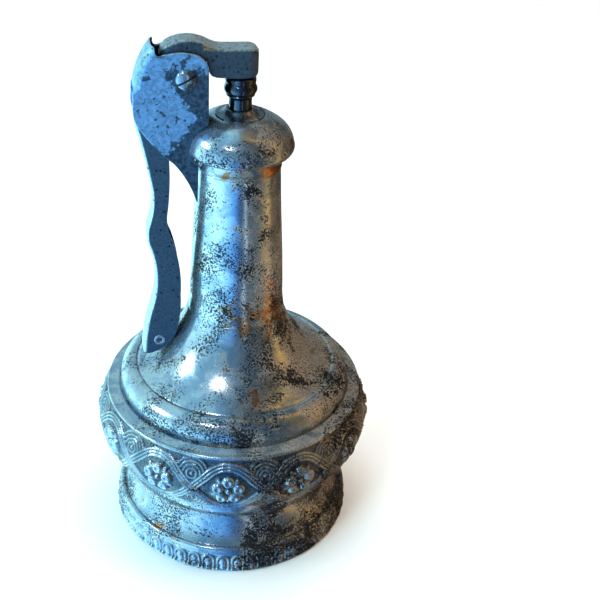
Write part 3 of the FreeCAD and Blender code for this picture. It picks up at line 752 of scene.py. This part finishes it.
def uneven(angle, along, depth):
    """Slight unevenness of a hand-worked surface."""
    return depth * (np.sin(3 * angle + along * 0.21) + 0.6 * np.sin(5 * angle - along * 0.34 + 1.3)
                    + 0.5 * np.sin(angle + along * 0.13 + 0.4))


# ---- turned pieces

def foot(materials):
    """Foot with its lobed border, bead, scotia and roll."""
    path = [
        (25.9, 0.3), (26.75, 0.3), (27.0, 1.2, (27.05, 0.7)), (26.65, 1.5), (26.15, 5.4, (26.75, 3.2)),
        (25.25, 6.2, (26.0, 5.95)), (25.05, 6.05), (23.45, 13.9, (23.2, 10.4)),
        (24.2, 18.4, (24.55, 16.4)), (23.4, 18.4), (22.6, 13.9, (23.8, 16.4)),
        (24.1, 5.95, (22.35, 10.4)), (25.9, 4.4),
    ]

    def spacing(along):
        return np.where((along > 0.9) & (along < 6.6), 0.18, 1.5)

    def relief(angle, along):
        scotia = window(7.5, 9.0, 18.0, 20.5, along)
        return foot_relief(angle, along) + scotia * uneven(angle, along, 0.035)

    turned("foot", path, 918, materials, corner=0.12, spacing=spacing, relief=relief,
           plain=lambda along: 1 - border_share(along))


def bowl(materials):
    """Bowl with its relief band, bead and ledge."""
    path = [
        (24.2, 18.4), (28.7, 22.5, (27.1, 19.9)), (28.5, 32.2, (29.85, 27.3)), (28.05, 33.5),
        (27.65, 34.2, (28.15, 33.95)), (25.6, 34.8), (25.35, 34.35), (25.0, 34.35), (25.0, 33.6),
        (27.15, 33.3), (27.7, 32.1), (27.85, 22.8, (29.05, 27.3)), (23.4, 19.2, (26.15, 20.5)),
        (23.4, 18.4),
    ]

    def spacing(along):
        return np.where((along > 3.0) & (along < 18.0), 0.26, np.where(along < 22, 0.6, 2.0))

    turned("bowl", path, 828, materials, corner=0.10, spacing=spacing, relief=bowl_relief,
           plain=lambda along: 1 - window(3.2, 4.0, 17.8, 18.2, along))


def shoulder(materials):
    """Rounded shoulder, its fine groove and the flare up to the neck."""
    path = [
        (25.0, 33.6), (25.0, 34.5), (21.7, 39.9, (24.75, 37.7)), (21.45, 39.7), (21.2, 40.0),
        (10.3, 54.0, (14.8, 45.25)), (9.5, 54.0), (20.7, 39.3, (14.1, 44.75)),
        (24.2, 33.6, (23.7, 37.2)),
    ]

    def relief(angle, along):
        worked = window(1.5, 3.0, 26.0, 29.0, along)
        return worked * uneven(angle, along, 0.05)

    turned("shoulder", path, 360, materials, corner=0.12, spacing=0.8, relief=relief)


def neck(materials):
    """Slightly tapered, slightly uneven neck."""
    path = [
        (10.3, 54.0), (9.85, 59.0, (9.98, 56.2)), (8.4, 87.0, (9.2, 72.0)), (7.6, 87.0),
        (9.05, 59.0, (8.4, 72.0)), (9.5, 54.0, (9.18, 56.2)),
    ]

    def relief(angle, along):
        worked = window(0.5, 4.0, 29.0, 33.0, along)
        return worked * uneven(angle, along, 0.035)

    turned("neck", path, 240, materials, corner=0.1, spacing=0.8, relief=relief)


def collar(materials):
    """Soldered ring under the cap."""
    path = [(7.5, 87.0), (8.5, 87.0), (8.55, 87.7, (8.62, 87.35)), (8.32, 88.2, (8.38, 87.9)),
            (8.4, 89.6, (8.25, 88.9)), (7.5, 89.6)]
    turned("collar", path, 160, materials, corner=0.12)


def cap(materials):
    """Domed cap with its overhanging rim."""
    path = [
        (7.5, 89.6), (8.4, 89.6), (10.3, 90.35), (10.75, 92.2, (10.9, 91.2)),
        (8.0, 96.15, (9.75, 94.7)), (4.5, 97.85, (6.0, 97.3)), (3.4, 97.85), (3.4, 97.05), (6.7, 96.1),
        (9.9, 92.0, (8.8, 94.05)), (9.55, 90.95), (7.5, 90.4),
    ]

    def relief(angle, along):
        worked = window(1.5, 3.5, 9.0, 11.0, along)
        return worked * uneven(angle, along * 2, 0.03)

    turned("cap", path, 240, materials, corner=0.2, spacing=0.6, relief=relief)


def gland(materials):
    """Flared collar that guides the plunger."""
    path = [(2.3, 99.0), (2.7, 99.0), (5.0, 97.8, (3.3, 98.35)), (4.5, 97.7), (3.4, 97.85), (3.4, 93.5),
            (3.0, 93.5), (3.0, 95.6), (2.3, 95.6)]
    turned("gland", path, 120, materials, corner=0.08)


def plunger(materials):
    """Turned plunger with its boss, disc, fine bead and rod."""
    path = [
        (0, 105.4), (2.8, 105.4), (3.0, 105.2), (3.0, 104.45), (2.82, 104.3), (2.8, 104.12),
        (3.0, 103.75, (2.95, 103.98)), (3.05, 102.35, (3.25, 103.0)), (2.72, 102.02),
        (2.74, 101.72, (2.86, 101.87)), (2.55, 101.62), (2.25, 101.0, (2.37, 101.4)), (2.25, 73.5),
        (1.2, 73.5), (1.2, 66.5), (0, 66.5),
    ]
    turned("plunger", path, 120, materials, corner=0.07)


def spring(materials):
    """Coil under the piston: a copy of the CAD spring that rides on the plunger."""
    coil = bpy.data.objects.new("coil", frame["nodes"]["return_spring"].data.copy())
    bpy.context.scene.collection.objects.link(coil)
    enlisted(coil, materials)
    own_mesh(coil)


def felt_pad(materials):
    """Felt disc under the base, with a soft edge."""
    path = [(0, 0.0), (25.5, 0.0), (25.5, 0.8), (0, 0.8)]

    def relief(angle, along):
        nap = np.sin(angle * 47) * np.sin(angle * 31 + 1.7) * 0.05
        return nap * window(24.5, 25.4, 26.4, 27.2, along)

    turned("felt_pad", path, 360, materials, corner=0.3, relief=relief)


# ---- bracket and lever

def sheet_layer(back, front, half, fold, folded):
    """One face of a folded sheet: rows across its U, from one cheek's front edge to the other's."""
    across = front - back
    reach = np.hypot(*across.T)
    across = across / reach[:, None]
    start = np.arcsin(np.clip(1 - (reach - 0.03) / fold, 0, 1))
    root = np.minimum(fold, reach - 0.03)
    columns = []
    for share in np.linspace(1, 0, 9):
        aside = -half + folded * fold * (1 - np.cos(start))
        columns.append((back + across * (root + (reach - root) * share)[:, None], aside))
    for share in np.linspace(0, 1, 9)[1:]:
        turn = start + (math.pi / 2 - start) * share
        inset = fold * folded * (1 - np.sin(turn)) + root * (1 - folded) * (1 - share)
        columns.append((back + across * inset[:, None], -half + folded * fold * (1 - np.cos(turn))))
    columns += [(place, -aside) for place, aside in reversed(columns)]
    return np.stack([np.stack([place[:, 0], aside, place[:, 1]], axis=1) for place, aside in columns], axis=1)


def folded_sheet(name, back, front, width, sheet, fold, slot_at, materials):
    """A sheet folded to a U. back and front run from top to bottom: the fold's line and the cheeks' edge.

    Past the share slot_at of the back's length, the back is open and the cheeks end at its line.
    """
    count = len(back)
    folded = 1 - smoothstep(slot_at, slot_at + 3.5 / count, np.arange(count) / count)
    outer = sheet_layer(back, front, width / 2, fold, folded)
    across = front - back
    reach = np.hypot(*across.T)
    wall = np.minimum(sheet * folded, 0.4 * reach)
    inner_back = back + across * (wall / reach)[:, None]
    inner = sheet_layer(inner_back, front, width / 2 - sheet, max(fold - sheet, 0.15), folded)
    columns = outer.shape[1]
    total = count * columns
    faces = []
    for i in range(count - 1):
        for j in range(columns - 1):
            if j != columns // 2 - 1 or i / count <= slot_at:
                a = i * columns + j
                faces.append((a, a + columns, a + columns + 1, a + 1))
    edges = {(f[k], f[(k + 1) % 4]) for f in faces for k in range(4)}
    rim = [(b, a, a + total, b + total) for a, b in edges if (b, a) not in edges]
    faces += [tuple(v + total for v in reversed(f)) for f in faces] + rim
    made = piece(name, np.concatenate([outer.reshape(-1, 3), inner.reshape(-1, 3)]), faces, materials)
    # Where light and shade are painted: 1 across the fold's arc, where a highlight is painted, and -1 on the
    # inner layer, where shade is painted.
    painted_light_and_shade = np.clip((np.arange(columns) - 8.0) / 8.0, 0, 1)
    painted_light_and_shade = np.minimum(painted_light_and_shade, painted_light_and_shade[::-1])[None, :] * folded[:, None]
    side = made.data.attributes.new("painted_light_and_shade", "FLOAT", "POINT")
    side.data.foreach_set("value", np.concatenate([painted_light_and_shade.ravel(), np.full(total, -1.0)]))
    made.data.materials.append(sheet_edge_material())
    for face in made.data.polygons[-len(rim):]:
        face.material_index = 1
    made.data.set_sharp_from_angle(angle=math.radians(50))
    return made


def about_pivot(path):
    """An outline given from the pivot, placed in the row frame."""
    def placed(point):
        return PIVOT[0] + point[0], PIVOT[1] + point[1]

    return [(*placed(entry), *(placed(via) for via in entry[2:])) for entry in path]


def hood(materials):
    """Bracket folded from one sheet, soldered to the cap and the neck."""
    back = trace(about_pivot([
        (-6.4, 6.2), (-9.95, -4.6, (-8.85, 1.8)), (-9.5, -8.6, (-9.95, -6.9)),
        (-2.6, -17.0, (-6.4, -13.1)), (1.9, -25.6, (0.05, -20.9))]))
    front = trace(about_pivot([
        (-5.75, 6.2), (-5.6, 4.9), (-4.9, 4.3), (1.8, 4.7, (-1.6, 5.1)), (4.3, 0.9, (3.75, 3.2)),
        (4.3, -9.2), (1.3, -11.7), (0.45, -14.5), (1.2, -16.2), (2.35, -17.5), (2.25, -20.5),
        (2.15, -25.7)]))
    count = 150
    made = folded_sheet("hood", resampled(back, count), resampled(front, count), 7.0, 0.7, 2.0, 0.235,
                        materials)
    cut(made, drill(*PIVOT, 1.05))
    soft_edges(made, 0.12)


def handle(materials):
    """Handle pressed as a channel, open towards the neck."""
    back = trace(about_pivot([
        (-9.25, -4.3), (-9.1, -11.6, (-9.8, -7.6)), (-6.7, -23.7, (-7.8, -17.6)),
        (-7.5, -31.2, (-6.65, -26.9)), (-7.3, -37.0, (-7.95, -33.7)), (-7.4, -50.8, (-6.35, -44.4)),
        (-9.3, -60.2, (-8.55, -55.4)), (-9.4, -61.9)]))
    front = trace(about_pivot([
        (-8.7, -3.9), (-3.7, 2.3), (0.4, 3.3, (-1.4, 3.1)), (-1.6, -2.9, (3.2, 0.7)),
        (-3.3, -16.0, (-3.2, -9.2)), (-3.65, -27.7, (-3.25, -22.2)), (-2.9, -34.7, (-3.75, -31.6)),
        (-1.3, -47.7, (-1.6, -40.2)), (-1.85, -55.2, (-1.4, -52.0)), (-6.9, -61.9, (-3.6, -59.5)),
        (-9.1, -62.05, (-8.0, -62.2))]))
    count = 260
    back_at = handle_match(back, np.linspace(0, 1, count))
    made = folded_sheet("handle", back_at, resampled(front, count), 5.2, 0.6, 0.9, 1.1,
                        materials)
    cut(made, drill(*EYELET, 0.85))
    soft_edges(made, 0.10)


def handle_match(back, stations):
    """Points of the handle's back that face the evenly spaced points of its front edge."""
    along = lengths(back)
    share = np.interp(stations, [0.0, 0.10, 0.22, 0.30, 0.80, 0.90, 1.0],
                      [0.0, 0.02, 0.06, 0.14, 0.87, 0.96, 1.0])
    return np.stack([np.interp(share * along[-1], along, back[:, k]) for k in (0, 1)], axis=1)


def section(half_width, low, high, top_edge, low_edge):
    """A rounded rectangle in the YZ plane, counterclockwise seen from +X."""
    points = []
    corners = [(1, low, low_edge, -90), (1, high, top_edge, 0),
               (-1, high, top_edge, 90), (-1, low, low_edge, 180)]
    for side, level, edge, start in corners:
        edge = min(edge, half_width * 0.95, (high - low) * 0.48)
        centre = (side * (half_width - edge), level + edge if level == low else level - edge)
        for k in range(7):
            turn = math.radians(start + 15 * k)
            points.append((centre[0] + edge * math.cos(turn), centre[1] + edge * math.sin(turn)))
    dense = []
    for index, point in enumerate(points):
        after = points[(index + 1) % len(points)]
        count = 6 if index % 7 == 6 else 1
        run, rise = after[0] - point[0], after[1] - point[1]
        dense += [(point[0] + run * k / count, point[1] + rise * k / count) for k in range(count)]
    return dense


def arm(materials):
    """Solid arm with a rounded head and a flat-topped block over the plunger."""
    top = [(-4.75, 4.2), (-4.45, 5.3), (-3.6, 6.15), (-2.4, 6.75), (-1.0, 7.15), (0.6, 7.3),
           (2.0, 7.15), (3.4, 6.7), (4.9, 5.85), (6.0, 5.38), (7.2, 5.25), (12.6, 5.2), (13.6, 4.95),
           (14.1, 4.4)]
    low = [(-4.75, 4.0), (-4.45, 3.6), (-3.4, 3.5), (4.25, 3.5), (4.35, 1.6), (4.55, 0.7), (5.0, 0.05),
           (5.9, -0.3), (7.8, -0.48), (10.65, -0.72), (13.2, -0.5), (13.9, -0.1), (14.1, 0.4)]
    ends = (-4.75, 14.1)
    places = np.concatenate([ends[0] + 0.35 * np.linspace(0, 1, 8) ** 2, np.linspace(-4.4, 13.4, 130)[1:],
                             ends[1] - 0.7 * np.linspace(1, 0, 16)[1:] ** 2])
    loops, lights = [], []
    for x in places:
        high_z, low_z = np.interp(x, *zip(*top)), np.interp(x, *zip(*low))
        left = np.clip((ends[0] + 2.2 - x) / 2.2, 0, 0.995)
        right = np.clip((x - ends[1] + 2.3) / 2.3, 0, 0.995)
        width = 2.35 * (1 - left ** 2.2) ** (1 / 2.2) * (1 - right ** 2.4) ** (1 / 2.4)
        head = 1 - smoothstep(2.0, 6.0, x)
        ring = section(width, low_z, high_z, 0.42 + 0.7 * head, 0.35)
        loops.append([(x, y, z) for y, z in ring])
        # Painted highlight: 1 along the arm's top, whose colour is made lighter.
        lights += [float(np.clip((z - high_z + 0.45) / 0.3, 0, 1)) for y, z in ring]
    columns = len(loops[0])
    points = np.array(loops).reshape(-1, 3) + (PIVOT[0], 0, PIVOT[1])
    faces = capped_faces(len(loops), columns)
    made = piece("arm", points, faces, materials)
    made.data.attributes.new("painted_light_and_shade", "FLOAT", "POINT").data.foreach_set("value", lights)
    shank(materials)


def shank(materials):
    """Root of the arm between the handle's cheeks."""
    outline = resampled(trace(about_pivot([
        (-3.4, 4.2), (-6.7, -2.6, (-5.5, 0.8)), (-7.1, -7.4), (-5.6, -9.0, (-6.7, -8.75)),
        (-4.2, -7.4, (-4.5, -8.6)), (-1.4, -3.0, (-3.2, -4.7)), (3.2, 0.0, (2.3, -2.3)), (4.2, 3.9),
        (-3.4, 4.2)])), 700)[:-1]
    loop = rounded(outline, 0.4)[::6]
    edge = 0.25
    normal = outward(loop)
    rings = []
    for turn in np.radians([90, 60, 30, 0]):
        rings.append((loop - normal * edge * (1 - math.cos(turn)), -2.0 + edge * (1 - math.sin(turn))))
    rings = rings + [(place, -aside) for place, aside in reversed(rings)]
    points = np.concatenate([np.stack([p[:, 0], np.full(len(p), y), p[:, 1]], axis=1) for p, y in rings])
    count = len(loop)
    faces = capped_faces(len(rings), count)
    made = piece("shank", points, faces, materials)
    cut(made, drill(*PIVOT, 1.58))


def screw(materials):
    """Slotted round-headed screw in front."""
    path = [(0, -4.45), (1.25, -4.28, (0.65, -4.41)), (1.95, -3.85, (1.72, -4.1)), (2.0, -3.5),
            (1.0, -3.5), (1.0, 5.0), (0.75, 5.25), (0, 5.25)]
    made = turned("screw", path, 128, materials, corner=0.06, lay=PIVOT)
    along = np.array([math.cos(SLOT_TURN), math.sin(SLOT_TURN)]) * 3.0
    aside = np.array([-math.sin(SLOT_TURN), math.cos(SLOT_TURN)]) * 0.21
    corners = [np.array(PIVOT) + along * a + aside * b for a, b in ((-1, -1), (1, -1), (1, 1), (-1, 1))]
    points = [(x, y, z) for y in (-6.0, -3.95) for x, z in corners]
    faces = [(0, 1, 2, 3), (7, 6, 5, 4), (0, 4, 5, 1), (1, 5, 6, 2), (2, 6, 7, 3), (3, 7, 4, 0)]
    cut(made, loose("slot_tool", points, faces))
    soft_edges(made, 0.04)


def nut(materials):
    """Round nut behind, with a turned edge."""
    path = [(1.0, 3.5), (1.9, 3.5), (1.9, 4.4), (1.7, 4.7, (1.86, 4.6)), (1.05, 4.75), (1.0, 4.7)]
    turned("nut", path, 72, materials, corner=0.06, lay=PIVOT)


def eyelet(materials):
    """Hollow rivet at the handle's lower end."""
    path = [(0.55, -2.6), (0.8, -2.78, (0.64, -2.74)), (1.2, -2.62, (1.06, -2.76)), (1.2, -2.55),
            (0.86, -2.55), (0.86, 2.55), (1.2, 2.55), (1.2, 2.62), (0.8, 2.78, (1.06, 2.76)),
            (0.55, 2.6, (0.64, 2.74))]
    turned("eyelet", path, 64, materials, corner=0.05,
           lay=EYELET)


# ---- studio

def turned_about_up(vector, degrees):
    """A vector turned about +Z."""
    return Matrix.Rotation(math.radians(degrees), 3, "Z") @ Vector(vector)


def make_camera():
    """Camera above and in front, a little to the lever's side."""
    elevation, pitch, yaw, roll = (math.radians(a) for a in (42.716, 32.860, 3.967, 3.420))
    distance = 270.8 * MM
    ahead = Vector((math.sin(yaw) * math.cos(pitch), math.cos(yaw) * math.cos(pitch), -math.sin(pitch)))
    right = ahead.cross(Vector((0, 0, 1))).normalized()
    up = right.cross(ahead)
    side = right * math.cos(roll) + up * math.sin(roll)
    top = up * math.cos(roll) - right * math.sin(roll)
    axes = [turned_about_up(v, -VIEW_TURN) for v in (side, top, -ahead)]
    place = (0, -distance * math.cos(elevation), distance * math.sin(elevation))
    camera = bpy.data.objects.new("camera", bpy.data.cameras.new("camera"))
    camera.data.lens = 66.0
    camera.data.sensor_width = 36.0
    camera.data.clip_start = 0.01
    stand = Matrix.Translation(turned_about_up(place, -VIEW_TURN))
    camera.matrix_world = stand @ Matrix(axes).transposed().to_4x4()
    bpy.context.scene.collection.objects.link(camera)
    bpy.context.scene.camera = camera


def soft_light(name, place, size, power, colour):
    """A square soft box that looks at the middle of the pump."""
    data = bpy.data.lights.new(name, "AREA")
    data.size = size
    data.energy = power
    data.color = colour
    light = bpy.data.objects.new(name, data)
    light.location = place
    light.rotation_euler = (Vector((0, 0, 0.05)) - Vector(place)).to_track_quat("-Z", "Y").to_euler()
    bpy.context.scene.collection.objects.link(light)
    return light


def make_lights():
    """Cool light from the left and a little warm light from the right, under a broad soft one."""
    soft_light("cool_box", (-0.58, -0.02, 0.36), 0.16, 1.0, (0.70, 0.93, 1.0))
    soft_light("small_box", (-0.22, -0.30, 0.50), 0.08, 0.35, (1.0, 1.0, 1.0))
    washes = [
        soft_light("cool_wash", (-0.50, -0.35, 0.20), 0.35, 5.0, (0.45, 0.85, 1.0)),
        soft_light("warm_wash", (0.50, -0.05, 0.15), 0.30, 1.6, (1.0, 0.62, 0.28)),
        soft_light("top_box", (0.05, 0.15, 0.95), 0.9, 9.0, (1.0, 0.99, 0.97)),
    ]
    for light in washes:
        light.visible_glossy = False


def make_world():
    """Soft surroundings: cool at the left, dark in front, warm at the right."""
    world = bpy.data.worlds.new("surroundings")
    bpy.context.scene.world = world
    world.use_nodes = True
    n = Nodes(world.node_tree)
    turn = n.node("ShaderNodeMapping")
    turn.inputs["Rotation"].default_value = (0, 0, math.radians(VIEW_TURN))
    n.link(n.node("ShaderNodeTexCoord").outputs["Generated"], turn.inputs["Vector"])
    parts = n.fed("ShaderNodeSeparateXYZ", (turn.outputs[0],)).outputs
    azimuth = n.math("ARCTAN2", parts["X"], n.times(parts["Y"], -1))
    share = n.step(azimuth, -math.pi, math.pi, kind="LINEAR")
    below = n.ramp(share, [
        (0.00, (0.10, 0.16, 0.19)), (0.07, (0.40, 0.78, 0.90)), (0.30, (0.38, 0.76, 0.92)),
        (0.38, (0.27, 0.58, 0.80)), (0.44, (0.13, 0.38, 0.68)), (0.485, (0.04, 0.17, 0.46)),
        (0.512, (0.004, 0.025, 0.09)), (0.540, (0.004, 0.02, 0.06)), (0.556, (0.34, 0.38, 0.40)),
        (0.570, (0.03, 0.04, 0.05)), (0.65, (0.04, 0.04, 0.04)), (0.71, (0.20, 0.12, 0.05)),
        (0.735, (0.32, 0.19, 0.07)), (0.77, (0.05, 0.032, 0.018)), (0.90, (0.05, 0.028, 0.012)),
        (1.00, (0.10, 0.16, 0.19))])
    above = n.ramp(share, [
        (0.00, (0.13, 0.21, 0.25)), (0.17, (0.20, 0.38, 0.45)), (0.33, (0.14, 0.31, 0.41)),
        (0.44, (0.06, 0.14, 0.22)), (0.54, (0.040, 0.055, 0.075)), (0.64, (0.018, 0.018, 0.018)),
        (0.70, (0.11, 0.065, 0.022)), (0.735, (0.38, 0.21, 0.055)), (0.79, (0.05, 0.035, 0.02)),
        (0.92, (0.05, 0.045, 0.04)), (1.00, (0.13, 0.21, 0.25))])
    rise = n.step(parts["Z"], -0.15, 0.30, kind="LINEAR")
    background = n.tree.nodes["Background"]
    n.link(n.mix(rise, below, above), background.inputs["Color"])
    background.inputs["Strength"].default_value = 2.2


def stage_disc(name, rings):
    """Flat or domed rings of points about the pump's axis, from (radius, height) pairs in metres."""
    sides = 96
    turns = np.arange(sides) / sides * math.tau
    points = [(r * math.cos(a) / MM, r * math.sin(a) / MM, z / MM) for r, z in rings for a in turns]
    return loose(name, points, grid_faces(len(rings), sides))


def make_stage():
    """Pale floor that runs on into a pale, evenly lit backdrop."""
    floor = stage_disc("floor", [(0.001, 0), (0.2, 0), (0.42, 0)])
    paint = bpy.data.materials.new("floor_paint")
    paint.use_nodes = True
    shader = paint.node_tree.nodes["Principled BSDF"]
    shader.inputs["Base Color"].default_value = (0.88, 0.88, 0.87, 1)
    shader.inputs["Roughness"].default_value = 0.9
    floor.data.materials.append(paint)
    floor.visible_glossy = False
    floor.visible_shadow = False
    dome = [(2.9 * math.cos(e), 2.9 * math.sin(e)) for e in np.linspace(0.02, math.pi / 2 - 0.01, 24)]
    backdrop = stage_disc("backdrop", [(0.42, 0), (2.6, 0), (2.85, 0.01), *dome])
    glow = bpy.data.materials.new("backdrop_paint")
    glow.use_nodes = True
    tree = glow.node_tree
    light = tree.nodes.new("ShaderNodeEmission")
    light.inputs["Color"].default_value = (1.0, 1.0, 0.995, 1)
    tree.links.new(light.outputs[0], tree.nodes["Material Output"].inputs["Surface"])
    backdrop.data.materials.append(glow)
    for flag in ("visible_diffuse", "visible_glossy", "visible_transmission", "visible_shadow"):
        setattr(backdrop, flag, False)


# ---- scene

materials = make_materials()
paint_kept_nodes(materials)
for build in (foot, bowl, shoulder, neck, collar, cap, gland, plunger, spring, felt_pad, hood, handle, arm,
              screw, nut, eyelet):
    build(materials)
make_camera()
make_lights()
make_world()
make_stage()
bpy.context.scene.view_settings.view_transform = "Standard"
